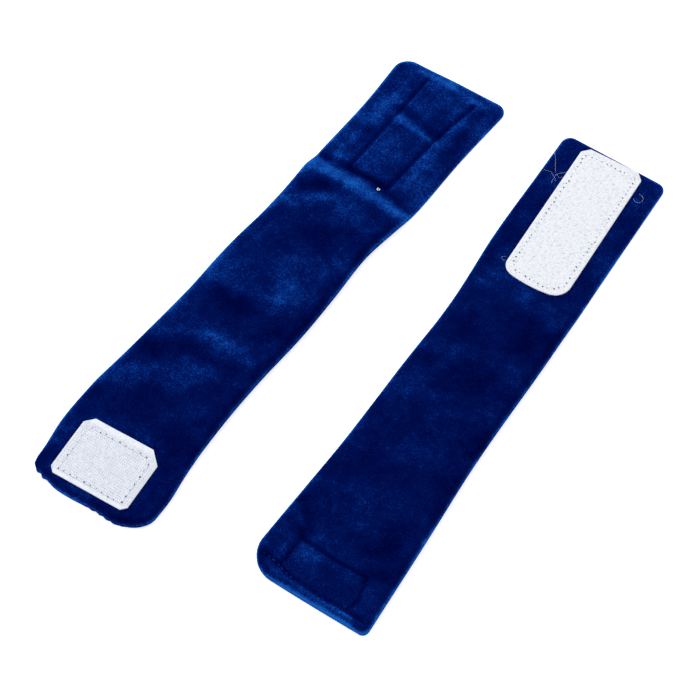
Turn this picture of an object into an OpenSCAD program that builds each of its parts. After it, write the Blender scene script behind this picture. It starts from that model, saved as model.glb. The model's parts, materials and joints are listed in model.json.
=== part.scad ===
// Armrest pads: soft velvet straps that wrap round a chair's arm and close with
// hook-and-loop tape. Two alike lie side by side: the left one hook side up, the
// right one turned over, loop side up. A strap bends all along its length, so every
// layer is cut into hinged segments, from the hook end to the tip of the tab.

/* [Strap] */
// Length from the hook end to the tip of the tab
strap_l = 320; // [300:5:345]
// Width of the strap
strap_w = 70; // [62:1:78]
// Radius of the corners at the hook end
hook_corner_r = 10; // [4:1:14]
// Radius of the corners at the tip of the tab
tab_corner_r = 6; // [4:1:14]
// Length of the thin tab, which has no foam in it
tab_l = 94; // [94:1:110]

/* [Layers] */
// Thickness of the velvet, with its pile
velvet_t = 1.2; // [0.8:0.1:1.6]
// Thickness of the foam
foam_t = 5; // [4:0.5:8]
// Thickness of the hook tape
hook_t = 1.5; // [1:0.1:2]
// Thickness of the loop tape
loop_t = 1.2; // [1:0.1:2]

/* [Hook and loop tape] */
// Width of the tape that both patches are cut from
tape_w = 38; // [30:1:38]
// Length of the hook patch, across the strap
hook_l = 48; // [40:1:50]
// Gap from the hook end to the hook patch
hook_margin = 5.5; // [5:0.5:6]
// How far the hook patch lies off the middle of the strap
hook_offset = -1.5; // [-4:0.5:4]
// Length of the loop patch, along the strap
loop_l = 91; // [70:1:91]
// Gap from the loop patch to the tip of the tab
loop_margin = 2.5; // [2:0.5:4]

/* [Stitching] */
// Thickness of the sewing thread
thread_d = 0.5; // [0.3:0.1:0.6]
// Distance of the stitch line from the edge of a patch
stitch_inset = 3.5; // [3:0.5:5]
// Distance of the closing stitches from the hook end
closing_inset = 3.5; // [3:0.5:4]
// Length from one stitch to the next
stitch_pitch = 4; // [3:0.5:5]

/* [Segments] */
// Length of the segment that carries the hook patch
hook_end_l = 50; // [46:1:54]
// Gap between two hinged segments
hinge_gap = 0.4; // [0.2:0.1:0.6]

/* [Layout] */
// Distance between the middles of the two straps, across
spacing = 116; // [105:1:140]
// How far the right strap lies ahead of the left one
stagger = 18; // [0:1:30]
// How far the right strap is turned, in degrees
turn = 4.7; // [0:0.1:5]

/* [Hidden] */
$fn = 64;
PADDED = 4;
TAB = 2;
SEGMENTS = concat(["hook_end"], [for (i = [1:PADDED]) str("pad_", i)], ["tab_root", "tab_tip"]);
LAST = len(SEGMENTS) - 1;
SIDES = ["left", "right"];

foam_end = strap_l - tab_l;
pad_seg_l = (foam_end - hook_end_l) / PADDED;
tab_seg_l = tab_l / TAB;
cuts = concat(
    [0],
    [for (i = [0:PADDED]) hook_end_l + i * pad_seg_l],
    [for (i = [1:TAB]) foam_end + i * tab_seg_l]
);

pad_h = 2 * velvet_t + foam_t;
hook_end_h = pad_h - hook_t;
tab_h = 2 * velvet_t + loop_t;
groove_w = thread_d + 0.4;
groove_d = thread_d - 0.05;
stitch_l = stitch_pitch - 1.2;
hook_chamfer = 6;
loop_corner_r = 8;
loop_chamfer = 4;

// Half of the space that the right strap takes, along X and along Y, once it is turned
turned_x = (strap_l / 2 - hook_corner_r) * sin(turn) + (strap_w / 2 - hook_corner_r) * cos(turn)
    + hook_corner_r;
turned_y = (strap_l / 2 - hook_corner_r) * cos(turn) + (strap_w / 2 - hook_corner_r) * sin(turn)
    + hook_corner_r;
left_x = -(spacing + turned_x - strap_w / 2) / 2;
left_y = -(stagger + turned_y - strap_l / 2) / 2;

VELVET = [0.02, 0.1, 0.45];
FOAM = [0.93, 0.9, 0.8];
TAPE = [0.93, 0.94, 0.96];
THREAD = [0.85, 0.88, 0.95];
BLUE_THREAD = [0.15, 0.3, 0.65];

// ---- Where things lie -------------------------------------------------------

// Height of a segment's own stack of layers
function stack_h(i) = i > PADDED ? tab_h : pad_h;

// Puts a strap in its place. A strap is built hook side up, from y = 0 at the hook end
module place(side) {
    if (side == "left")
        translate([left_x, left_y - strap_l / 2, 0]) children();
    else
        translate([left_x + spacing, left_y + stagger, 0]) rotate(turn)
            translate([0, -strap_l / 2, 0]) children();
}

// Turns one segment's stack over on the floor for the right strap
module lay(side, i) {
    place(side)
        if (side == "right") translate([0, 0, stack_h(i)]) rotate([0, 180, 0]) children();
        else children();
}

// ---- Outlines ---------------------------------------------------------------

// Plan of the whole strap, drawn in by an inset on every side
module strap_plan(inset) {
    a = hook_corner_r - inset;
    b = tab_corner_r - inset;
    half = strap_w / 2 - inset;
    for (x = [-1, 1]) {
        translate([x * (half - a), hook_corner_r]) circle(a);
        translate([x * (half - b), strap_l - tab_corner_r]) circle(b);
    }
    translate([-half, hook_corner_r]) square([2 * half, strap_l - hook_corner_r - tab_corner_r]);
    translate([-half + a, inset]) square([2 * (half - a), hook_corner_r]);
    translate([-half + b, strap_l - tab_corner_r]) square([2 * (half - b), b]);
}

// The stretch of the strap that one segment covers, with half a hinge gap at each inner end
module stretch(i) {
    low = cuts[i] + (i == 0 ? 0 : hinge_gap / 2);
    high = cuts[i + 1] - (i == LAST ? 0 : hinge_gap / 2);
    translate([-strap_w, low]) square([2 * strap_w, high - low]);
}

module segment_plan(i, inset = 0) {
    intersection() {
        strap_plan(inset);
        stretch(i);
    }
}

// The pocket that the foam fills, which ends one cloth thickness before the tab
module pocket_plan(i) {
    intersection() {
        segment_plan(i, velvet_t);
        translate([-strap_w, 0]) square([2 * strap_w, foam_end - hinge_gap / 2 - velvet_t]);
    }
}

module hook_plan() {
    half = hook_l / 2;
    far = hook_margin + tape_w;
    c = hook_chamfer;
    translate([hook_offset, 0])
        polygon([
            [-half, hook_margin], [half - c / 2, hook_margin], [half, hook_margin + c / 2],
            [half, far - c], [half - c, far], [-half + c, far], [-half, far - c]
        ]);
}

module loop_plan() {
    half = tape_w / 2;
    far = strap_l - loop_margin;
    near = far - loop_l;
    c = loop_chamfer;
    r = loop_corner_r;
    translate([0, near + r]) polygon([
        [-half, 0], [half, 0], [half, loop_l - r - c], [half - c, loop_l - r],
        [-half + c, loop_l - r], [-half, loop_l - r - c]
    ]);
    translate([-half + r, near]) square([tape_w - 2 * r, r]);
    for (x = [-1, 1]) translate([x * (half - r), near + r]) circle(r);
}

// ---- Stitching --------------------------------------------------------------

// One straight run of stitches between two points
module stitch_run(a, b) {
    run = b - a;
    count = floor(norm(run) / stitch_pitch);
    step = norm(run) / count;
    translate([a.x, a.y, 0]) rotate(atan2(run.y, run.x))
        for (k = [0:count - 1])
            translate([(k + 0.5) * step - stitch_l / 2, -thread_d / 2, 0])
                cube([stitch_l, thread_d, thread_d - 0.05]);
}

module box_outline(x0, y0, x1, y1) {
    difference() {
        translate([x0 - groove_w / 2, y0 - groove_w / 2])
            square([x1 - x0 + groove_w, y1 - y0 + groove_w]);
        translate([x0 + groove_w / 2, y0 + groove_w / 2])
            square([x1 - x0 - groove_w, y1 - y0 - groove_w]);
    }
}

hook_box = [
    hook_offset - hook_l / 2 + stitch_inset, hook_margin + stitch_inset,
    hook_offset + hook_l / 2 - stitch_inset, hook_margin + tape_w - stitch_inset
];
loop_box = [
    -tape_w / 2 + stitch_inset, strap_l - loop_margin - loop_l + stitch_inset,
    tape_w / 2 - stitch_inset, strap_l - loop_margin - stitch_inset
];
closing_half = strap_w / 2 - hook_corner_r;

// ---- The pieces -------------------------------------------------------------

// Velvet panel on the hook side: its top, and its rim down to the seam halfway
module hook_side_cover(side, i) {
    h = i == 0 ? hook_end_h : pad_h;
    color(VELVET) lay(side, i)
        if (i > PADDED) translate([0, 0, tab_h - velvet_t]) linear_extrude(velvet_t) segment_plan(i);
        else difference() {
            translate([0, 0, h / 2]) linear_extrude(h / 2) segment_plan(i);
            linear_extrude(h - velvet_t) pocket_plan(i);
        }
}

// Velvet panel on the loop side
module loop_side_cover(side, i) {
    h = i == 0 ? hook_end_h : pad_h;
    color(VELVET) lay(side, i)
        if (i > PADDED) translate([0, 0, loop_t]) linear_extrude(velvet_t) segment_plan(i);
        else difference() {
            linear_extrude(h / 2) segment_plan(i);
            translate([0, 0, velvet_t]) linear_extrude(h) pocket_plan(i);
            if (i == 0) closing_groove();
        }
}

// Groove that the closing stitches lie in
module closing_groove() {
    translate([-closing_half, closing_inset - groove_w / 2, -1])
        cube([2 * closing_half, groove_w, 1 + groove_d]);
}

// Foam inside one padded segment; the hook patch squeezes it thinner
module foam_core(side, i) {
    t = i == 0 ? hook_end_h - 2 * velvet_t : foam_t;
    color(FOAM) lay(side, i) translate([0, 0, velvet_t]) linear_extrude(t) pocket_plan(i);
}

module hook_tape(side) {
    color(TAPE) lay(side, 0) difference() {
        translate([0, 0, hook_end_h]) linear_extrude(hook_t) hook_plan();
        translate([0, 0, pad_h - groove_d]) linear_extrude(1)
            box_outline(hook_box[0], hook_box[1], hook_box[2], hook_box[3]);
    }
}

module loop_tape(side, i) {
    color(TAPE) lay(side, i) difference() {
        linear_extrude(loop_t) intersection() {
            loop_plan();
            stretch(i);
        }
        translate([0, 0, -1]) linear_extrude(1 + groove_d)
            box_outline(loop_box[0], loop_box[1], loop_box[2], loop_box[3]);
    }
}

// Lockstitch round the hook patch
module hook_stitching(side) {
    b = hook_box;
    color(THREAD) lay(side, 0) translate([0, 0, pad_h - groove_d]) {
        stitch_run([b[0], b[1]], [b[2], b[1]]);
        stitch_run([b[2], b[1]], [b[2], b[3]]);
        stitch_run([b[2], b[3]], [b[0], b[3]]);
        stitch_run([b[0], b[3]], [b[0], b[1]]);
    }
}

// Lockstitch round the loop patch, as far as one segment reaches
module loop_stitching(side, i) {
    b = loop_box;
    at_root = i == LAST - 1;
    end_y = at_root ? b[1] : b[3];
    low = at_root ? b[1] : cuts[i] + hinge_gap / 2;
    high = at_root ? cuts[i + 1] - hinge_gap / 2 : b[3];
    color(THREAD) lay(side, i) {
        stitch_run([b[0], end_y], [b[2], end_y]);
        for (x = [b[0], b[2]]) stitch_run([x, low], [x, high]);
    }
}

// The line of stitches that closes the hook end once the foam is in
module closing_stitching(side) {
    color(BLUE_THREAD) lay(side, 0)
        stitch_run([-closing_half, closing_inset], [closing_half, closing_inset]);
}

for (side = SIDES) {
    for (i = [0:LAST]) {
        hook_side_cover(side, i);
        loop_side_cover(side, i);
    }
    for (i = [0:PADDED])
        foam_core(side, i);
    for (i = [LAST - 1:LAST]) {
        loop_tape(side, i);
        loop_stitching(side, i);
    }
    hook_tape(side);
    hook_stitching(side);
    closing_stitching(side);
}
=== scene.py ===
"""Armrest pads: the looks of two velvet straps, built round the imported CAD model.

Each strap is built flat in its own frame, in millimetres: x across it, s along it from
the hook end, z up from the floor. Strap.world() takes those points to the row frame.
"""

import json
import math

import bpy
import numpy as np
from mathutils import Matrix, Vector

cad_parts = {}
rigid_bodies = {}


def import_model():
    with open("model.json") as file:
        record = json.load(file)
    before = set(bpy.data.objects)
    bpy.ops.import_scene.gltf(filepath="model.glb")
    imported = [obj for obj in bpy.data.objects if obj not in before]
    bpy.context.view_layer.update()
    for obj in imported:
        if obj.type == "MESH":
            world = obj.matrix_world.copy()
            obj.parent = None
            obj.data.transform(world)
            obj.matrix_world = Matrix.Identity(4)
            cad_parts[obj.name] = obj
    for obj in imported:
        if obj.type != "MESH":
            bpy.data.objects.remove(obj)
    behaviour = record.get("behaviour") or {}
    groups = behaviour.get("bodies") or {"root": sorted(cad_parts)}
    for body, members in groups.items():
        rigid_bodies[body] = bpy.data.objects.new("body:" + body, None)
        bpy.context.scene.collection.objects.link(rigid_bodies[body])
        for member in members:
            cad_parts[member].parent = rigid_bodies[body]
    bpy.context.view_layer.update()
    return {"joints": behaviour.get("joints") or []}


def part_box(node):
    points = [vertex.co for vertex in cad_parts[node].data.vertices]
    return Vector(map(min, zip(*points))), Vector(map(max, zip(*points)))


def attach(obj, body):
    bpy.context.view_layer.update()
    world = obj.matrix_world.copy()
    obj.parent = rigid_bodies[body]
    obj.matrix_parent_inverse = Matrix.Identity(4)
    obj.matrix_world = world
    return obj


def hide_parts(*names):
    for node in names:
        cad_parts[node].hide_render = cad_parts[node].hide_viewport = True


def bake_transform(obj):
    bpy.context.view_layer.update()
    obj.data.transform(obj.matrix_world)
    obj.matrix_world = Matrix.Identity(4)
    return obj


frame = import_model()

MM = 0.001
SEGMENTS = ["hook_end", "pad_1", "pad_2", "pad_3", "pad_4", "tab_root", "tab_tip"]
BEND_BEFORE, BEND_AFTER = 8.0, 8.0  # span on each side of a hinge that bend() works out; nothing bends the cloth
TAB_BEND_AFTER = 3.0  # less at the tab's root
JOINTS = frame["joints"]

# ---- Sizes, in millimetres -----------------------------------------------------

VELVET = 1.2
HOOK_TAPE = 1.5
LOOP_TAPE = 1.2
PAD_H = 7.4
HOOK_END_H = 5.9
TAB_H = 2 * VELVET
GRID = 1.3  # spacing of the velvet's mesh, away from its edges
PANEL_WIDTH = 68  # width that the columns of a panel's mesh are spread over
POCKET_INSET = 0.8  # from a panel's outline to the pocket inside it
FOAM_INSET = 2.6
FOAM_GRID = 2.5
RIB = 1.25  # pitch of the hook tape's ribs
HOOK_ROW = 1.5  # pitch of the hooks along a rib
HOOK_STITCH, LOOP_STITCH, CLOSING_STITCH = 4.0, 2.8, 3.2
LOOP_COUNT = 3400
THREAD_RADIUS = 0.16
EDGE_STEPS = [0, 0.25, 0.7, 1.3, 2.1, 3.0, 4.0, 5.1]


# ---- Small curves --------------------------------------------------------------


def smooth(t):
    t = np.clip(t, 0, 1)
    return t * t * (3 - 2 * t)


def ramp(value, start, end):
    """0 before start, 1 after end, smooth between them."""
    return smooth((value - start) / (end - start))


def through(points, at):
    """A smooth curve through a few (s, value) points."""
    knots, values = np.array(points, float).T
    at = np.clip(at, knots[0], knots[-1])
    slope = np.gradient(values, knots)
    i = np.clip(np.searchsorted(knots, at) - 1, 0, len(knots) - 2)
    h = knots[i + 1] - knots[i]
    t = (at - knots[i]) / h
    return (
        (2 * t**3 - 3 * t**2 + 1) * values[i]
        + (t**3 - 2 * t**2 + t) * h * slope[i]
        + (3 * t**2 - 2 * t**3) * values[i + 1]
        + (t**3 - t**2) * h * slope[i + 1]
    )


def nearest(x, s, line):
    """Distance from points to a line of straight stretches."""
    best = np.full(np.broadcast(x, s).shape, 1e9)
    for (ax, a_s), (bx, b_s) in zip(line[:-1], line[1:]):
        dx, ds = bx - ax, b_s - a_s
        t = np.clip(((x - ax) * dx + (s - a_s) * ds) / (dx * dx + ds * ds), 0, 1)
        best = np.minimum(best, np.hypot(x - ax - t * dx, s - a_s - t * ds))
    return best


def folds(x, s, rows):
    """Sum of soft ridges, each (line, width, height); a negative height is a crease."""
    total = np.zeros(np.broadcast(x, s).shape)
    for line, width, height in rows:
        total = total + height * np.exp(-((nearest(x, s, line) / width) ** 2))
    return total


def waves(x, s, seed, count, longest, shortest):
    """Gentle unevenness of hand-laid cloth: a sum of plane waves."""
    rng = np.random.default_rng(seed)
    total = np.zeros(np.broadcast(x, s).shape)
    for _ in range(count):
        angle = rng.uniform(0, math.pi)
        length = rng.uniform(shortest, longest)
        phase = rng.uniform(0, 2 * math.pi)
        total = total + np.sin(
            2 * math.pi * (x * math.cos(angle) + s * math.sin(angle)) / length + phase
        )
    return total / math.sqrt(count)


# ---- One strap -----------------------------------------------------------------


class Strap:
    """A strap's own frame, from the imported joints, and the outline it is built to."""

    def __init__(self, side, outline):
        self.side = side
        self.outline = outline
        low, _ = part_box("left_hook_side_cover_hook_end")
        left_wrap = self.joint("left", 4)
        wrap = self.joint(side, 4)
        hook_to_wrap = left_wrap["pos_m"][1] - low.y
        self.across = np.array(wrap["axis"], float)
        self.along = np.cross([0, 0, 1], self.across)
        centre = np.array([wrap["pos_m"][0], wrap["pos_m"][1], 0.0])
        self.origin = centre - self.along * hook_to_wrap
        self.hinges = [
            (np.array(self.joint(side, k)["pos_m"]) - self.origin) @ self.along / MM
            for k in range(1, len(SEGMENTS))
        ]
        self.cuts = [(a + b) / 2 for a, b in zip(self.hinges[:-1], self.hinges[1:])]

    @staticmethod
    def joint(side, k):
        pair = {f"{side}_{SEGMENTS[k - 1]}", f"{side}_{SEGMENTS[k]}"}
        return next(j for j in JOINTS if {j["parent"], j["child"]} == pair)

    def world(self, points):
        p = np.asarray(points, float)
        flat = p[..., 0:1] * self.across + p[..., 1:2] * self.along
        return self.origin + (flat + p[..., 2:3] * np.array([0, 0, 1.0])) * MM

    def bend(self, piece, k):
        """Bakes the piece's transform into its mesh; the piece does not bend with the hinge between
        segments k - 1 and k.
        """
        at = self.hinges[k - 1]
        a, b = SEGMENTS[k - 1], SEGMENTS[k]
        after = TAB_BEND_AFTER if b == "tab_root" else BEND_AFTER
        start = self.world([0, at - BEND_BEFORE, 0])
        end = self.world([0, at + after, 0])
        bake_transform(piece)

    def left_edge(self, s):
        return through(self.outline["left"], s)

    def right_edge(self, s):
        return through(self.outline["right"], s)

    def corners(self):
        o = self.outline
        return o["near_left"], o["near_right"], o["far_left"], o["far_right"]

    def plan(self, u, share, inset=0.0):
        """Places (x, s) for columns u from -1 to 1 and rows from 0 to 1 along the strap."""
        o = self.outline
        near, far = o["near"] + inset, o["far"] - inset
        row = near + share[:, None] * (far - near)
        low = self.left_edge(row) + inset
        high = self.right_edge(row) - inset
        near_left, near_right, far_left, far_right = [max(r - inset, 0.3) for r in self.corners()]
        low = low + rounding(row - near, near_left) + rounding(far - row, far_left)
        high = high - rounding(row - near, near_right) - rounding(far - row, far_right)
        x = low + (u[None, :] + 1) / 2 * (high - low)
        return x, row, self.sheared(x, row)

    def sheared(self, x, row):
        """The near edge is a curve, ruffled in places, and the far edge is cut at a slant."""
        o = self.outline
        at_near = 1 - ramp(row, o["near"], o["near"] + 55)
        at_far = ramp(row, o["far"] - 55, o["far"])
        ruffle = folds(x, row, o["ruffles"]) * np.abs(np.sin(math.pi * (x + 1.7 * row) / 4.6))
        near = (through(o["near_edge"], x) - o["near"]) * at_near
        near = near - ruffle * (1 - ramp(row, o["near"], o["near"] + 9))
        return row + near + o["far_slant"] * x * at_far

    def depth(self, x, row):
        """Distance inwards from the outline."""
        o = self.outline
        a, b = x - self.left_edge(row), self.right_edge(row) - x
        c, e = row - o["near"], o["far"] - row
        d = np.minimum(np.minimum(a, b), np.minimum(c, e))
        for p, q, r in zip((a, b, a, b), (c, c, e, e), self.corners()):
            round_d = r - np.hypot(r - p, r - q)
            d = np.where((p < r) & (q < r), np.minimum(d, round_d), d)
        return np.maximum(d, 0)


def rounding(from_end, radius):
    """How far a round corner pulls an edge in, at a distance from the end."""
    t = np.clip(from_end, 0, radius)
    return radius - np.sqrt(np.maximum(radius**2 - (radius - t) ** 2, 0))


def pull(from_end, corner):
    """The same, for a corner that is cut off straight or rounded."""
    kind, size = corner
    if kind == "cut":
        return np.maximum(size - from_end, 0)
    return rounding(from_end, size)


def steps(length):
    """Shares from 0 to 1 of a length: close together at both ends, even between them."""
    first = np.array(EDGE_STEPS)
    count = int(round((length - 2 * first[-1]) / GRID)) + 1
    middle = np.linspace(first[-1], length - first[-1], count)[1:-1]
    return np.concatenate([first, middle, length - first[::-1]]) / length


# ---- The two straps' outlines and surfaces --------------------------------------

# Where the straps' edges run, as (s, x); the velvet is soft, so they wander a little
LEFT_OUTLINE = dict(
    left=[(-4, -31), (5, -32.6), (18, -34.9), (42, -36.4), (75, -34.8), (125, -33), (162, -33.4),
          (195, -31.8), (235, -33.2), (285, -33.4), (320, -35.6)],
    right=[(0, 40), (18, 39.2), (42, 35.8), (75, 33), (105, 32.3), (140, 33.1), (170, 32),
           (200, 30.2), (235, 33.6), (285, 33.1), (320, 34)],
    near=-5.0, far=325.5, near_left=2, near_right=9, far_left=9, far_right=7,
    near_edge=[(-32, 0.5), (-29, -3.4), (-25, -4.6), (-19, -6.3), (-13, -7.6), (-5, -7.4),
               (4, -6.2), (12, -4.6), (22, -4.2), (27, -3.4), (33, -0.9), (40, 2)],
    far_slant=0.09, ruffles=[([(-31, -4), (-22, -5)], 3, 1.5), ([(11, -5), (25, -5)], 4, 0.9)],
)
RIGHT_OUTLINE = dict(
    left=[(0, -38.5), (45, -35.6), (85, -33), (140, -31.5), (195, -30), (230, -33),
          (290, -33.5), (320, -33.5)],
    right=[(0, 35.6), (60, 33.6), (110, 31.5), (190, 32), (250, 31.4), (320, 31)],
    near=1.5, far=319.0, near_left=17, near_right=4, far_left=6, far_right=5,
    near_edge=[(-38, 2.7), (-20, 2), (0, 1.6), (36, 1.4)], far_slant=-0.02, ruffles=[],
)

# Lines that the stitching of the patches draws through the velvet on the other side
LEFT_QUILT = [
    [(-13, 241), (-13.5, 280), (-14, 316)],
    [(12.5, 243), (14, 283), (18, 317)],
    [(-13, 241), (12.5, 243)],
]
RIGHT_QUILT = [
    [(-21, 10), (-20, 29), (2, 27), (19.5, 28), (22.5, 15), (21, 8)],
    [(-33, 12), (-27, 11.4), (-13, 8), (3, 7), (20, 7.3), (30, 7)],
]

# Soft folds: (line, width, height)
LEFT_FOLDS = [
    ([(-34, 227), (-14, 229), (4, 232), (24, 230)], 5.0, 0.9),
    ([(-34, 238.5), (3, 240), (34, 237)], 3.0, -1.0),
    ([(-30, 196), (-20, 201), (-8, 213)], 6, 1.1),
    ([(-22, 214), (-12, 221)], 5, -0.8),
    ([(-8, 200), (12, 188)], 9, -0.8),
    ([(4, 220), (28, 206)], 8, 0.7),
    ([(34, 196), (20, 204)], 6, -0.9),
    ([(-33, 146), (-24, 149)], 8, 0.5),
    ([(14, 156), (24, 158)], 9, 0.7),
    ([(-18, 137), (0, 141), (14, 144)], 7, 0.9),
    ([(-18, 131), (0, 130)], 6, -0.7),
    ([(30, 131), (22, 127)], 6, -0.6),
    ([(-24, 92), (-16, 101), (4, 108), (22, 107)], 7, 1.0),
    ([(-8, 95), (20, 98)], 6, -0.8),
    ([(-26, 61), (-20, 64)], 7, 0.6),
    ([(-10, 74), (2, 70), (10, 84)], 6, 0.7),
    ([(-28, 80), (-22, 83)], 6, -0.6),
    ([(28, 20), (38, 52)], 6, -0.5),
    ([(-12, 283), (13, 281)], 3.0, 0.7),
    ([(-12, 290), (13, 287)], 3.0, -0.8),
    ([(-24, 256), (-22, 300)], 6, 0.2),
    ([(22, 250), (21, 300)], 5, 0.8),
    ([(-33, 268), (-22, 272)], 5, 0.5),
]
RIGHT_FOLDS = [
    ([(-31, 46), (-23, 39), (-20, 31)], 3.6, -1.2),
    ([(-30, 35), (-22, 29)], 3.2, -0.8),
    ([(-30, 42), (-25, 36)], 2.8, 0.8),
    ([(14, 38), (23, 48)], 5, -0.9),
    ([(22, 29), (31, 33)], 4, -1.0),
    ([(-24, 12), (-24, 26)], 3, 0.5),
    ([(-34, 60), (-24, 62)], 7, 0.5),
    ([(-6, 66), (8, 66)], 9, 0.5),
    ([(-24, 104), (-14, 105)], 8, 0.6),
    ([(2, 99), (14, 101)], 8, 0.6),
    ([(-22, 129), (-4, 130)], 7, 0.6),
    ([(-24, 160), (-6, 164), (10, 168), (24, 168)], 7, 0.9),
    ([(-20, 150), (10, 154)], 8, -0.6),
    ([(-30, 186), (-6, 192)], 9, 0.6),
    ([(4, 208), (24, 206)], 7, 0.7),
    ([(32, 168), (26, 170)], 5, -0.7),
    ([(-26, 6.5), (-12, 3.5), (4, 3), (24, 3.5)], 2.6, 0.8),
]


def quilting(x, s, lines, width):
    """Grooves where stitches pull the velvet in: -1 along the lines, 0 away from them."""
    gap = np.minimum.reduce([nearest(x, s, line) for line in lines])
    return -np.exp(-((gap / width) ** 2))


class LeftSurface:
    """Heights of the left strap, which lies hook side up."""

    foam_end = 231
    wave_seed = 11
    painted_slope_sheen = 0.22  # strength of the painted sheen on slopes facing the sheen direction
    pad_tone, tab_tone = 0.0, 0.08  # how much lighter the pile's colour is set on each stretch

    def grooves(self, x, s):
        return quilting(x, s, LEFT_QUILT, 1.0)

    def folds(self, x, s):
        return folds(x, s, LEFT_FOLDS) * ramp(s, 0, 50)

    def tape(self, x, s):
        """Height of the tape that the tab lies on."""
        over = 1 - ramp(np.abs(x), 19.2, 27)
        return LOOP_TAPE * over * ramp(s, 219, 227.5) * (1 - ramp(s, 317.5, 323))

    def padding(self, s):
        return 1 - ramp(s, 225, 241)

    def bottom(self, x, s):
        return self.tape(x, s)

    def seam(self, x, s):
        height = HOOK_END_H + (PAD_H - HOOK_END_H) * ramp(s, 42, 56)
        pad = self.padding(s)
        return pad * height / 2 + (1 - pad) * (self.tape(x, s) + VELVET)

    def top(self, x, s):
        height = HOOK_END_H + (PAD_H - HOOK_END_H) * ramp(s, 42, 56)
        pad = self.padding(s)
        crown = 0.7 * (1 - (x / 36) ** 2) * ramp(s, 45, 90) * pad
        tab = self.tape(x, s) + TAB_H + 0.9 * (1 - pad) * np.exp(-((x / 12) ** 2))
        return (
            pad * (height + crown)
            + (1 - pad) * tab
            + 0.7 * self.grooves(x, s)
            + self.folds(x, s)
            + 0.12 * waves(x, s, self.wave_seed, 9, 60, 14)
        )


class RightSurface:
    """Heights of the right strap, which lies loop side up."""

    foam_end = 212
    wave_seed = 23
    painted_slope_sheen = 0.10
    pad_tone, tab_tone = -0.10, 0.0

    def grooves(self, x, s):
        return quilting(x, s, RIGHT_QUILT, 1.0)

    def folds(self, x, s):
        return folds(x, s, RIGHT_FOLDS)

    def patch(self, x, s):
        """Height of the hook tape that the strap's near end lies on."""
        over = (1 - ramp(np.abs(x - 1.5), 25, 32)) * ramp(s, 1.5, 4.7) * (1 - ramp(s, 44.3, 52))
        return HOOK_TAPE * over

    def padding(self, s):
        return 1 - ramp(s, 196, 226)

    def bottom(self, x, s):
        return self.patch(x, s)

    def seam(self, x, s):
        pad = self.padding(s)
        return pad * (self.patch(x, s) + PAD_H) / 2 + (1 - pad) * VELVET

    def top(self, x, s):
        pad = self.padding(s)
        crown = 0.6 * (1 - (x / 36) ** 2) * ramp(s, 40, 80) * pad
        puff = 0.7 * (1 - ramp(np.abs(x - 1.3), 12, 18)) * (1 - ramp(np.abs(s - 24), 9, 15))
        return (
            pad * (PAD_H - 0.4 * (1 - ramp(s, 0, 45)) + crown + puff)
            + (1 - pad) * TAB_H
            + 0.6 * self.grooves(x, s)
            + self.folds(x, s)
            + 0.12 * waves(x, s, self.wave_seed, 9, 60, 14) * (0.3 + 0.7 * pad)
        )


# ---- Meshes ----------------------------------------------------------------------


def new_object(name, verts, faces, material, normals=None):
    mesh = bpy.data.meshes.new(name)
    mesh.from_pydata([tuple(v) for v in verts], [], [tuple(f) for f in faces])
    mesh.validate()
    mesh.shade_smooth()
    if normals is not None:
        mesh.normals_split_custom_set_from_vertices([tuple(n) for n in normals])
    mesh.materials.append(material)
    piece = bpy.data.objects.new(name, mesh)
    bpy.context.scene.collection.objects.link(piece)
    return piece


def loop_of(rows, columns):
    """Grid places round the outside of a grid, in order."""
    near = [(0, c) for c in range(columns)]
    right = [(r, columns - 1) for r in range(1, rows)]
    far = [(rows - 1, c) for c in range(columns - 2, -1, -1)]
    left = [(r, 0) for r in range(rows - 2, 0, -1)]
    return near + right + far + left


def shell(outer, ring, inner, cut_rows):
    """A closed skin between two grids, cut across into closed pieces.

    outer and inner are grids of points; ring is a loop of points between their outsides.
    Gives all the points, and for each piece its faces.
    """
    rows, columns = outer.shape[:2]
    loop = loop_of(rows, columns)
    count = rows * columns
    points = np.concatenate([outer.reshape(-1, 3), inner.reshape(-1, 3), ring])

    def out(r, c):
        return r * columns + c

    def inn(r, c):
        return count + r * columns + c

    ring_at = {place: 2 * count + i for i, place in enumerate(loop)}
    pieces = []
    bounds = [0, *cut_rows, rows - 1]
    for first, last in zip(bounds[:-1], bounds[1:]):
        faces = []
        for r in range(first, last):
            for c in range(columns - 1):
                faces.append((out(r, c), out(r, c + 1), out(r + 1, c + 1), out(r + 1, c)))
                faces.append((inn(r, c), inn(r + 1, c), inn(r + 1, c + 1), inn(r, c + 1)))
        for a, b in zip(loop, loop[1:] + loop[:1]):
            if first <= min(a[0], b[0]) and max(a[0], b[0]) <= last:
                if a[0] != b[0] or a[0] in (0, rows - 1):
                    faces.append((out(*b), out(*a), ring_at[a], ring_at[b]))
                    faces.append((ring_at[b], ring_at[a], inn(*a), inn(*b)))
        for r, forward in ((first, False), (last, True)):
            if r in (0, rows - 1):
                continue
            caps = [(out(r, c), out(r, c + 1), inn(r, c + 1), inn(r, c)) for c in range(columns - 1)]
            caps.append((out(r, 0), inn(r, 0), ring_at[(r, 0)]))
            caps.append((out(r, columns - 1), ring_at[(r, columns - 1)], inn(r, columns - 1)))
            faces.extend(caps if not forward else [face[::-1] for face in caps])
        pieces.append(faces)
    return points, pieces


def whole_normals(points, pieces):
    """Point normals of the whole skin, so that a cut doesn't show."""
    normals = np.zeros_like(points)
    quads = np.array([f for faces in pieces for f in faces if len(f) == 4])
    a, b, c, d = (points[quads[:, i]] for i in range(4))
    face_normal = np.cross(c - a, d - b)
    for i in range(4):
        np.add.at(normals, quads[:, i], face_normal)
    return normals / np.linalg.norm(normals, axis=1, keepdims=True)


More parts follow.
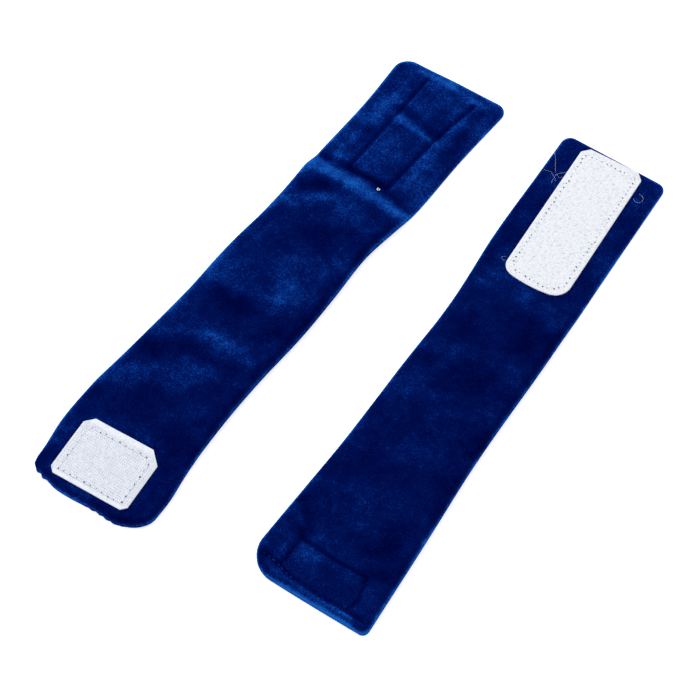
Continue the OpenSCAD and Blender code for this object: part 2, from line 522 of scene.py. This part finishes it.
def paint_sheen_and_shade(strap, surface, upper, flat, depths, normals):
    """Painted sheen and shade for the velvet's colour: lighter on ridges, at the rim and on slopes
    facing one fixed way, darker in creases and grooves.
    """
    x, s = flat[:, 0], flat[:, 1]
    # slopes that face this fixed direction get a painted sheen
    sheen_direction = 0.8 * strap.along - 0.6 * strap.across
    light = surface.painted_slope_sheen * np.tanh(2.6 * (normals @ sheen_direction))
    # painted sheen on steep sides
    light = light + 0.14 * (1 - np.abs(normals[:, 2]))
    pad = surface.padding(s)
    # a set tone for the padded stretch and for the tab
    light = light + surface.pad_tone * pad * ramp(s, 45, 85) + surface.tab_tone * (1 - pad)
    # painted rim highlight along the outline
    light = light + 0.34 * np.exp(-((depths / 1.0) ** 2))
    if upper:
        # painted highlight on ridges, painted shade in creases and in the quilted grooves
        light = light + 0.12 * surface.folds(x, s) + 0.26 * surface.grooves(x, s)
    return light


def cover(strap, surface, name, upper, material, nodes):
    """One velvet panel: a skin from its outside to the pocket, with its rim at the seam."""
    o = strap.outline
    u = 2 * steps(PANEL_WIDTH) - 1
    share = steps(o["far"] - o["near"])
    x, row, s = strap.plan(u, share)
    d = strap.depth(x, np.broadcast_to(row, x.shape))
    seam = surface.seam(x, s)
    skin = surface.top(x, s) if upper else surface.bottom(x, s)
    reach = np.abs(skin - seam)
    roll_w = 1.2 + 1.1 * reach
    roll = np.sqrt(np.clip(1 - (1 - np.clip(d / roll_w, 0, 1)) ** 2, 0, 1))
    lift = 0.28
    z = seam + (skin - seam) * (lift + (1 - lift) * roll)
    sign = 1 if upper else -1
    if upper:
        z = np.maximum(z, seam + 0.1)
    z = np.maximum(z, 0.0)
    outer = np.stack([x, s, z], -1)

    xi, _, si = strap.plan(u, share, POCKET_INSET)
    pocket = (z - VELVET) if upper else (z + VELVET)
    closed = seam + sign * 0.03
    zi = np.maximum(pocket, closed) if upper else np.minimum(pocket, closed)
    inner = np.stack([xi, si, zi], -1)

    xr, _, sr = strap.plan(u, share, 0.25)
    zr = seam + (z - seam) * 0.45
    middle = np.stack([xr, sr, zr], -1)
    ring = np.array([middle[r, c] for r, c in loop_of(*x.shape)])

    at = o["near"] + share * (o["far"] - o["near"])
    cut_rows = [int(np.argmin(np.abs(at - cut))) for cut in strap.cuts]
    points, pieces = shell(outer, ring, inner, cut_rows)
    if not upper:
        pieces = [[face[::-1] for face in faces] for faces in pieces]
    flat_points, points = points, strap.world(points)
    normals = whole_normals(points, pieces)
    depths = np.concatenate([d.ravel(), d.ravel(), np.zeros(len(ring))])
    # painted sheen and shade for each point of the skin
    painted_light = paint_sheen_and_shade(strap, surface, upper, flat_points, depths, normals)
    for k, faces in enumerate(pieces, start=1):
        used = np.unique([i for face in faces for i in face])
        index = {old: new for new, old in enumerate(used)}
        faces = [tuple(index[i] for i in face) for face in faces]
        piece = new_object(f"{name}_{k}", points[used], faces, material, normals[used])
        # the mesh carries the painted sheen and shade that the velvet material turns into colour
        painted_sheen_and_shade = piece.data.attributes.new("painted_sheen_and_shade", "FLOAT", "POINT")
        painted_sheen_and_shade.data.foreach_set("value", painted_light[used].astype(np.float32))
        strap.bend(piece, k)
        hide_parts(*nodes[k - 1])


# ---- Foam ------------------------------------------------------------------------


def foam(strap, surface, material):
    """The foam inside, cut where the covers are cut."""
    inset = FOAM_INSET
    o = strap.outline
    length = o["far"] - o["near"]
    ends = [o["near"] + inset, *strap.cuts[:4], surface.foam_end]
    u = np.linspace(-1, 1, 25)
    for k, (first, last) in enumerate(zip(ends[:-1], ends[1:]), start=1):
        count = int((last - first) / FOAM_GRID)
        share = (np.linspace(first, last, count) - o["near"] - inset) / (length - 2 * inset)
        x, row, s = strap.plan(u, np.maximum(share, 0), inset)
        d = strap.depth(x, np.broadcast_to(row, x.shape)) - inset
        top, bottom = surface.top(x, s), surface.bottom(x, s)
        middle = (top + bottom) / 2
        half = np.maximum((top - bottom) / 2 - 1.35, 0.15)
        half = half * (0.55 + 0.45 * np.sqrt(np.clip(1 - (1 - np.clip(d / 3, 0, 1)) ** 2, 0, 1)))
        grids = [np.stack([x, s, middle + side * half], -1) for side in (1, 0, -1)]
        ring = np.array([grids[1][r, c] for r, c in loop_of(*x.shape)])
        points, pieces = shell(grids[0], ring, grids[2], [])
        piece = new_object(
            f"{strap.side}_foam_{k}", strap.world(points), pieces[0], material
        )
        strap.bend(piece, k)
        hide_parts(f"{strap.side}_foam_core_{SEGMENTS[k - 1]}")


# ---- Tape, hooks, loops and thread -------------------------------------------------


class Gathered:
    """Many small closed tubes, gathered into one mesh."""

    def __init__(self):
        self.points = []
        self.faces = []
        self.count = 0

    def tube(self, line, radius, sides=5, across=None):
        line = np.asarray(line, float)
        radius = np.broadcast_to(np.asarray(radius, float), (len(line),))
        along = np.gradient(line, axis=0)
        along /= np.linalg.norm(along, axis=1, keepdims=True)
        if across is None:
            across = np.cross(along, [0, 0, 1.0])
        a = np.broadcast_to(np.asarray(across, float), along.shape)
        a = a / np.linalg.norm(a, axis=1, keepdims=True)
        b = np.cross(along, a)
        angle = np.linspace(0, 2 * math.pi, sides, endpoint=False)[None, :, None]
        turned = a[:, None] * np.cos(angle) + b[:, None] * np.sin(angle)
        rings = line[:, None] + radius[:, None, None] * turned
        base = self.count
        self.points.append(rings.reshape(-1, 3))
        for r in range(len(line) - 1):
            for c in range(sides):
                d = (c + 1) % sides
                low, high = base + r * sides, base + (r + 1) * sides
                self.faces.append((low + c, high + c, high + d, low + d))
        self.faces.append(tuple(base + c for c in range(sides)))
        last = base + (len(line) - 1) * sides
        self.faces.append(tuple(last + c for c in reversed(range(sides))))
        self.count += rings.shape[0] * sides

    def bead(self, centre, radius):
        """A small round bump."""
        heights = np.array([-0.95, -0.6, 0.0, 0.6, 0.95])
        line = np.asarray(centre, float) + np.outer(heights, [0, 0, radius])
        self.tube(line, radius * np.sqrt(1 - heights**2), sides=6, across=[1, 0, 0])

    def piece(self, strap, name, material):
        return new_object(name, strap.world(np.concatenate(self.points)), self.faces, material)


class Patch:
    """A patch of tape on a strap: p runs across the strap and q along it, from its centre."""

    def __init__(self, strap, skin, face, centre, turn, half_p, half_q, corners, bow=0.0):
        self.strap = strap
        self.skin = skin
        self.face = face
        self.centre = centre
        self.turn = math.radians(turn)
        self.half_p = half_p
        self.half_q = half_q
        self.corners = corners
        self.bow = bow

    def place(self, p, q, height):
        """Point of the strap's frame at (p, q), a height off the velvet."""
        p, q, height = np.broadcast_arrays(p, q, height)
        near = 1 - ramp(q, -self.half_q, -self.half_q + 20)
        q = q - self.bow * (1 - (p / self.half_p) ** 2) * near
        c, n = math.cos(self.turn), math.sin(self.turn)
        x = self.centre[0] + p * c - q * n
        s = self.centre[1] + p * n + q * c
        return np.stack([x, s, np.maximum(self.skin(x, s) + self.face * height, 0)], -1)

    def sides(self, q, inset=0.0):
        """Where the patch's two sides are, at q."""
        near, far = q + self.half_q - inset, self.half_q - inset - q
        near_left, near_right, far_left, far_right = self.corners
        reach = self.half_p - inset
        low = -reach + pull(near, near_left) + pull(far, far_left)
        high = reach - pull(near, near_right) - pull(far, far_right)
        return low, high

    def slab(self, name, thickness, texture, material, step):
        """The tape itself: a thin woven slab with a textured face."""
        columns = int(2 * self.half_p / step) + 1
        rows = int(2 * self.half_q / step) + 1
        u = np.linspace(0, 1, columns)[None, :]
        grids = []
        for inset, height in ((0.12, thickness), (0.0, thickness / 2), (0.1, -0.1)):
            q = np.linspace(-self.half_q + inset, self.half_q - inset, rows)[:, None]
            low, high = self.sides(q, inset)
            p = low + u * (high - low)
            raised = texture(p, q) if height == thickness else 0.0
            grids.append(self.place(p, q + 0 * p, height + raised))
        ring = np.array([grids[1][r, c] for r, c in loop_of(rows, columns)])
        points, pieces = shell(grids[0], ring, grids[2], [])
        faces = pieces[0] if self.face > 0 else [face[::-1] for face in pieces[0]]
        return new_object(name, self.strap.world(points), faces, material)

    def stitches(self, outline, pitch, height, thread, marks):
        """Lockstitches along lines of the patch, and the marks that the needle leaves."""
        rng = np.random.default_rng(17)
        for (p0, q0), (p1, q1) in zip(outline[:-1], outline[1:]):
            count = max(1, int(round(math.hypot(p1 - p0, q1 - q0) / pitch)))
            holes = np.linspace([p0, q0], [p1, q1], count + 1)
            for a, b in zip(holes[:-1], holes[1:]):
                t = np.array([0.1, 0.2, 0.35, 0.65, 0.8, 0.9])
                dip = np.array([-0.3, 0.0, 0.06, 0.06, 0.0, -0.3])
                at = a + np.outer(t, b - a)
                line = self.place(at[:, 0], at[:, 1], height - 0.2 + dip)
                thread.tube(line, THREAD_RADIUS, sides=6)
            for hole in holes[:-1]:
                size = 0.45 * rng.uniform(0.35, 1)
                marks.bead(self.place(*(hole + rng.normal(0, 0.25, 2)), height), size)


def hook_texture(p, q):
    """Woven ground of the hook tape: ribs along the strap, and two smooth selvedges."""
    ribs = 0.24 * np.cos(2 * math.pi * p / RIB) + 0.05 * np.cos(2 * math.pi * q / 1.1)
    return ribs * (1 - ramp(np.abs(q), 15.4, 16.2))


def hook_tape(patch, materials):
    """The hook patch: woven tape, its hooks, its stitches and the needle points."""
    strap = patch.strap
    side = strap.side
    tape = patch.slab(f"{side}_hook_tape_woven", 0.6, hook_texture, materials["hook_tape"], 0.4)
    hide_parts(f"{side}_hook_tape")
    hooks = Gathered()
    c, n = math.cos(patch.turn), math.sin(patch.turn)
    across = np.array([c, n, 0])
    rng = np.random.default_rng(5)
    bend = np.linspace(0, 1, 6)
    arch_q = 0.75 * np.sin(bend * 2.4)
    arch_h = 0.45 + 0.75 * np.sin(bend * 2.1) ** 0.9 * (1 - 0.35 * bend)
    for p in np.arange(-patch.half_p + 1.2, patch.half_p - 0.8, RIB):
        for q in np.arange(-16, 15, HOOK_ROW):
            low, high = patch.sides(np.array(q))
            if not low + 0.7 < p < high - 0.7:
                continue
            painted_light, shift = rng.uniform(0.8, 1.1), rng.uniform(-0.05, 0.05)
            line = patch.place(p + shift + 0 * bend, q + arch_q * painted_light - 0.4, arch_h * painted_light)
            hooks.tube(line, 0.13, sides=4, across=across)
    tufts = hooks.piece(strap, f"{side}_hook_tape_hooks", materials["hook_tape"])
    thread, marks = Gathered(), Gathered()
    a, near, far = patch.half_p - 4.3, 3.5 - patch.half_q, patch.half_q - 5.5
    outline = [(-a, near), (a, near), (a, far - 3), (a - 3, far), (2 - a, far), (-a, far - 3),
               (-a, near)]
    patch.stitches(outline, HOOK_STITCH, 1.0, thread, marks)
    sewn = thread.piece(strap, f"{side}_hook_patch_stitches", materials["white_thread"])
    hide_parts(f"{side}_hook_stitching")
    dots = marks.piece(strap, f"{side}_hook_patch_needle_points", materials["blue_thread"])
    slots = ["hook_tape", "hook_tape", "white_thread", "blue_thread"]
    for piece, slot in zip((tape, tufts, sewn, dots), slots):
        strap.bend(piece, 1)


def brushed(p, q):
    """Uneven surface of brushed loop pile."""
    return 0.06 * waves(p, q, 3, 14, 6, 1.6)


def loop_tape(patch, materials):
    """The loop patch: woven tape, its brushed pile, its stitches and the needle points."""
    strap = patch.strap
    side = strap.side
    tape = patch.slab(f"{side}_loop_tape_woven", 0.7, brushed, materials["loop_tape"], 0.7)
    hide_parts(f"{side}_loop_tape_tab_root", f"{side}_loop_tape_tab_tip")
    pile = Gathered()
    rng = np.random.default_rng(8)
    turn = np.linspace(0, math.pi, 6)
    for _ in range(LOOP_COUNT):
        q = rng.uniform(-patch.half_q + 0.7, patch.half_q - 0.7)
        low, high = patch.sides(np.array(q))
        p = rng.uniform(low + 0.6, high - 0.6)
        angle, size = rng.uniform(0, 2 * math.pi), rng.uniform(0.35, 0.7)
        c, n = math.cos(angle), math.sin(angle)
        reach = size * np.cos(turn)
        line = patch.place(p + c * reach, q + n * reach, 0.62 + 0.2 * size * np.sin(turn))
        pile.tube(line, 0.07, sides=3, across=[-n, c, 0.0])
    fuzz = pile.piece(strap, f"{side}_loop_tape_pile", materials["loop_tape"])
    thread, marks = Gathered(), Gathered()
    a, near, far = patch.half_p - 3.4, 3.6 - patch.half_q, patch.half_q - 4.5
    outline = [(-a, near + 4), (4 - a, near), (a - 4, near), (a, near + 4), (a, far - 1), (a - 1, far),
               (1 - a, far), (-a, far - 1), (-a, near + 4)]
    patch.stitches(outline, LOOP_STITCH, 0.85, thread, marks)
    sewn = thread.piece(strap, f"{side}_loop_patch_stitches", materials["white_thread"])
    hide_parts(f"{side}_loop_stitching_tab_root", f"{side}_loop_stitching_tab_tip")
    dots = marks.piece(strap, f"{side}_loop_patch_needle_points", materials["blue_thread"])
    slots = ["loop_tape", "loop_tape", "white_thread", "blue_thread"]
    for piece, slot in zip((tape, fuzz, sewn, dots), slots):
        strap.bend(piece, 6)


def closing_stitches(strap, skin, face, line, material):
    """The topstitching that closes the hook end."""
    thread = Gathered()
    points = np.array(line, float)
    x = np.linspace(points[0, 0], points[-1, 0], int((points[-1, 0] - points[0, 0]) / 0.45))
    s = through(line, x)
    run = np.concatenate([[0], np.cumsum(np.hypot(np.diff(x), np.diff(s)))])
    pitch = CLOSING_STITCH
    for k in range(int(run[-1] / pitch)):
        at = (k + np.array([0.08, 0.2, 0.5, 0.8, 0.92])) * pitch
        px, ps = np.interp(at, run, x), np.interp(at, run, s)
        height = np.array([-0.5, -0.1, 0.05, -0.1, -0.5])
        thread.tube(np.stack([px, ps, skin(px, ps) + face * height], -1), 0.17, sides=6)
    piece = thread.piece(strap, f"{strap.side}_closing_stitches", material)
    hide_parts(f"{strap.side}_closing_stitching")
    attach(piece, f"{strap.side}_hook_end")


def loose_ends(left, left_surface, right, right_surface, material):
    """A knot left on the left tab, and curled fibres beside the right loop patch."""
    knot = Gathered()
    turn = np.linspace(0, 2.2 * math.pi, 22)
    x, s = 8.9 + 0.75 * np.cos(turn), 239.6 + 0.65 * np.sin(turn)
    z = left_surface.top(x, s) + 0.45 + 0.25 * np.cos(2.3 * turn)
    knot.tube(np.stack([x, s, z], -1), 0.22, sides=6)
    piece = knot.piece(left, "left_thread_knot", material)
    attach(piece, "left_tab_root")
    hairs = Gathered()
    curls = [
        [(-33, 305), (-29.5, 300), (-26, 294), (-22.5, 291.5), (-20.5, 293)],
        [(-32, 291.5), (-28, 292), (-24.5, 290), (-22.5, 288.5)],
        [(-24, 286), (-24.5, 292), (-21.5, 295.5), (-19.5, 298)],
        [(20.5, 306), (23.5, 304.5), (24, 301.5), (21.5, 300), (19.3, 301.5)],
        [(-20.5, 231.5), (-22, 230), (-21.2, 228.4), (-19.8, 229)],
    ]
    for curl in curls:
        t = np.linspace(0, len(curl) - 1, 26)
        knots = list(enumerate(curl))
        x = through([(i, c[0]) for i, c in knots], t)
        s = through([(i, c[1]) for i, c in knots], t)
        z = right_surface.top(x, s) + 0.25 + 0.3 * np.sin(t / (len(curl) - 1) * math.pi)
        hairs.tube(np.stack([x, s, z], -1), 0.03, sides=4)
    piece = hairs.piece(right, "right_loose_fibres", material)
    right.bend(piece, 6)


# ---- Materials -------------------------------------------------------------------


class Nodes:
    """A short way to write a material's nodes."""

    def __init__(self, name):
        self.material = bpy.data.materials.new(name)
        self.material.use_nodes = True
        self.tree = self.material.node_tree
        self.shader = self.tree.nodes["Principled BSDF"]
        self.place = self.tree.nodes.new("ShaderNodeNewGeometry").outputs["Position"]

    def add(self, kind, **values):
        node = self.tree.nodes.new(kind)
        for key, value in values.items():
            if hasattr(node, key):
                setattr(node, key, value)
            else:
                self.feed(node.inputs[key.replace("_", " ")], value)
        return node

    def feed(self, socket, value):
        if isinstance(value, bpy.types.NodeSocket):
            self.tree.links.new(value, socket)
        else:
            socket.default_value = value

    def set(self, **values):
        for key, value in values.items():
            self.feed(self.shader.inputs[key.replace("_", " ")], value)


def mixed(n, parts):
    """Sum of socket * share."""
    total = 0.0
    for socket, share in parts:
        step = n.add("ShaderNodeMath", operation="MULTIPLY_ADD")
        n.feed(step.inputs[0], socket)
        n.feed(step.inputs[1], share)
        n.feed(step.inputs[2], total)
        total = step.outputs[0]
    return total


def coloured(n, fac, stops):
    node = n.add("ShaderNodeValToRGB", Fac=fac)
    elements = node.color_ramp.elements
    while len(elements) < len(stops):
        elements.new(0.5)
    for element, (position, colour) in zip(elements, stops):
        element.position = position
        element.color = (*colour, 1)
    return node.outputs["Color"]


def velvet_material():
    """Velvet pile: random patches and grain, plus the painted sheen and shade from the mesh, mapped
    from deep navy to bright blue.
    """
    n = Nodes("velvet")
    coords = n.tree.nodes.new("ShaderNodeTexCoord").outputs["Object"]
    # painted sheen and shade, read from the mesh
    painted_sheen_and_shade = n.add("ShaderNodeAttribute", attribute_name="painted_sheen_and_shade").outputs["Fac"]
    patches = n.add("ShaderNodeTexNoise", Vector=coords, Scale=42.0, Detail=3.0, Roughness=0.55)
    brushed = n.add("ShaderNodeTexNoise", Vector=coords, Scale=210.0, Detail=5.0, Roughness=0.75)
    pile = n.add("ShaderNodeTexNoise", Vector=coords, Scale=1400.0, Detail=2.0)
    parts = [
        (painted_sheen_and_shade, 0.7),
        (patches.outputs["Fac"], 0.45),
        (brushed.outputs["Fac"], 0.32),
        (pile.outputs["Fac"], 0.50),
    ]
    fac = mixed(n, parts)
    # deep navy to bright blue; the lightest stops are painted sheen colours, the darkest painted shade
    colour = coloured(
        n,
        fac,
        [
            (0.43, (0.0000, 0.0008, 0.027)),
            (0.57, (0.0001, 0.0025, 0.051)),
            (0.69, (0.0003, 0.0059, 0.078)),
            (0.775, (0.0014, 0.0195, 0.164)),
            (0.845, (0.0040, 0.0470, 0.260)),
            (0.945, (0.0060, 0.0950, 0.400)),
        ],
    )
    bump = n.add("ShaderNodeBump", Height=pile.outputs["Fac"], Strength=0.4, Distance=0.0004)
    n.set(Base_Color=colour, Roughness=0.95, Normal=bump.outputs["Normal"])
    n.shader.inputs["Specular IOR Level"].default_value = 0.0
    n.shader.inputs["Sheen Weight"].default_value = 0.5
    n.shader.inputs["Sheen Roughness"].default_value = 0.3
    n.shader.inputs["Sheen Tint"].default_value = (0.0, 0.2, 1.0, 1)
    return n.material


def plain_material(name, light, dark, scale, roughness, bump_strength, shine):
    n = Nodes(name)
    coords = n.tree.nodes.new("ShaderNodeTexCoord").outputs["Object"]
    noise = n.add("ShaderNodeTexNoise", Vector=coords, Scale=scale, Detail=4.0)
    ramp_node = n.add("ShaderNodeValToRGB", Fac=noise.outputs["Fac"])
    ramp_node.color_ramp.elements[0].position = 0.3
    ramp_node.color_ramp.elements[0].color = (*dark, 1)
    ramp_node.color_ramp.elements[1].position = 0.7
    ramp_node.color_ramp.elements[1].color = (*light, 1)
    height = noise.outputs["Fac"]
    bump = n.add("ShaderNodeBump", Height=height, Strength=bump_strength, Distance=0.0003)
    n.set(Base_Color=ramp_node.outputs["Color"], Roughness=roughness, Normal=bump.outputs["Normal"])
    n.shader.inputs["Specular IOR Level"].default_value = shine
    return n.material


# The other materials: light and dark colour, noise scale, roughness, bump and shine
PLAIN = {
    "foam": ((0.85, 0.80, 0.66), (0.62, 0.56, 0.42), 900, 0.9, 0.8, 0.5),
    "hook_tape": ((0.71, 0.73, 0.79), (0.57, 0.60, 0.68), 700, 0.5, 0.3, 0.5),
    "loop_tape": ((0.728, 0.748, 0.785), (0.64, 0.662, 0.708), 900, 0.9, 0.25, 0.5),
    "white_thread": ((0.86, 0.88, 0.92), (0.76, 0.79, 0.85), 2500, 0.6, 0.4, 0.5),
    "blue_thread": ((0.004, 0.09, 0.32), (0.002, 0.03, 0.16), 2500, 0.9, 0.4, 0.1),
}


def make_materials():
    materials = {"velvet": velvet_material()}
    for name, values in PLAIN.items():
        materials[name] = plain_material(name, *values)
    return materials


# ---- Camera, light and floor -----------------------------------------------------

VIEW_AZIMUTH, VIEW_ELEVATION, VIEW_DISTANCE = 37.4, 60.0, 1.275
VIEW_TARGET = (-0.0069, -0.0191, 0.0)
LENS = 123.4


def add_camera():
    data = bpy.data.cameras.new("camera")
    data.lens = LENS
    data.sensor_width = 36.0
    camera = bpy.data.objects.new("camera", data)
    bpy.context.scene.collection.objects.link(camera)
    az, el = math.radians(VIEW_AZIMUTH), math.radians(VIEW_ELEVATION)
    back = np.array([math.sin(az) * math.cos(el), -math.cos(az) * math.cos(el), math.sin(el)])
    camera.location = np.array(VIEW_TARGET) + back * VIEW_DISTANCE
    camera.rotation_euler = (math.pi / 2 - el, 0, az)
    bpy.context.scene.camera = camera


def add_area(name, azimuth, elevation, distance, size, power, colour=(1, 1, 1)):
    data = bpy.data.lights.new(name, "AREA")
    data.shape = "DISK"
    data.size = size
    data.energy = power
    data.color = colour
    lamp = bpy.data.objects.new(name, data)
    bpy.context.scene.collection.objects.link(lamp)
    az, el = math.radians(azimuth), math.radians(elevation)
    lamp.location = (
        distance * math.sin(az) * math.cos(el),
        -distance * math.cos(az) * math.cos(el),
        distance * math.sin(el),
    )
    lamp.rotation_euler = (math.pi / 2 - el, 0, az)


def add_studio():
    world = bpy.data.worlds.new("studio")
    world.use_nodes = True
    world.node_tree.nodes["Background"].inputs["Color"].default_value = (1, 1, 1, 1)
    world.node_tree.nodes["Background"].inputs["Strength"].default_value = 0.85
    bpy.context.scene.world = world
    add_area("far_key", VIEW_AZIMUTH + 190, 42, 1.6, 1.1, 12)
    add_area("left_fill", VIEW_AZIMUTH - 80, 45, 1.6, 0.8, 5)
    mesh = bpy.data.meshes.new("floor")
    half = 6.0
    mesh.from_pydata(
        [(-half, -half, 0), (half, -half, 0), (half, half, 0), (-half, half, 0)], [], [(0, 1, 2, 3)]
    )
    floor = bpy.data.objects.new("floor", mesh)
    n = Nodes("floor")
    n.set(Base_Color=(0.92, 0.92, 0.92, 1), Roughness=0.8)
    n.set(Emission_Color=(1, 1, 1, 1), Emission_Strength=0.5)
    mesh.materials.append(n.material)
    bpy.context.scene.collection.objects.link(floor)
    bpy.context.scene.view_settings.view_transform = "Standard"


# ---- Build -----------------------------------------------------------------------

HOOK_CORNERS = [("cut", 3.0), ("cut", 2.8), ("cut", 4.6), ("cut", 7.0)]
LOOP_CORNERS = [("round", 6.0), ("round", 8.0), ("cut", 4.0), ("cut", 4.0)]
RIGHT_CLOSING = [(-33, 12), (-27, 11.4), (-13, 8), (3, 7), (20, 7.3), (30, 7)]
LEFT_CLOSING = [(-28, 2.5), (-12, 0), (10, 0), (30, 3)]


def level(height):
    """A flat skin, for a patch that lies on the floor under its strap."""
    return lambda x, s: height + 0 * x


def build():
    materials = make_materials()
    outlines = {"left": LEFT_OUTLINE, "right": RIGHT_OUTLINE}
    surfaces = {"left": LeftSurface(), "right": RightSurface()}
    straps = {side: Strap(side, outlines[side]) for side in outlines}
    for side, strap in straps.items():
        surface = surfaces[side]
        for panel in ("hook_side", "loop_side"):
            upper = (side == "left") == (panel == "hook_side")
            owned = [[f"{side}_{panel}_cover_{seg}"] for seg in SEGMENTS[:5]]
            owned.append([f"{side}_{panel}_cover_{seg}" for seg in SEGMENTS[5:]])
            cover(strap, surface, f"{side}_{panel}_velvet", upper, materials["velvet"], owned)
        foam(strap, surface, materials["foam"])
    left, right = straps["left"], straps["right"]
    on_left, on_right = surfaces["left"], surfaces["right"]
    hook = (23.7, 18.8, HOOK_CORNERS)
    hidden_hook = (24, 19, HOOK_CORNERS)
    hook_tape(Patch(left, on_left.top, 1, (0.6, 18.4), 6.4, *hook), materials)
    hook_tape(Patch(right, level(HOOK_TAPE), -1, (1.5, 24.5), -2, *hidden_hook), materials)
    loop = (19, 46.6, LOOP_CORNERS, 2.6)
    hidden_loop = (19, 44.3, LOOP_CORNERS)
    hidden_skin = level(LOOP_TAPE + 0.15)
    loop_tape(Patch(left, hidden_skin, -1, (0, 273.2), 0, *hidden_loop), materials)
    loop_tape(Patch(right, on_right.top, 1, (-0.7, 270.9), 1.3, *loop), materials)
    closing_stitches(left, level(0.45), -1, LEFT_CLOSING, materials["blue_thread"])
    closing_stitches(right, on_right.top, 1, RIGHT_CLOSING, materials["blue_thread"])
    loose_ends(left, on_left, right, on_right, materials["white_thread"])


add_camera()
add_studio()
build()
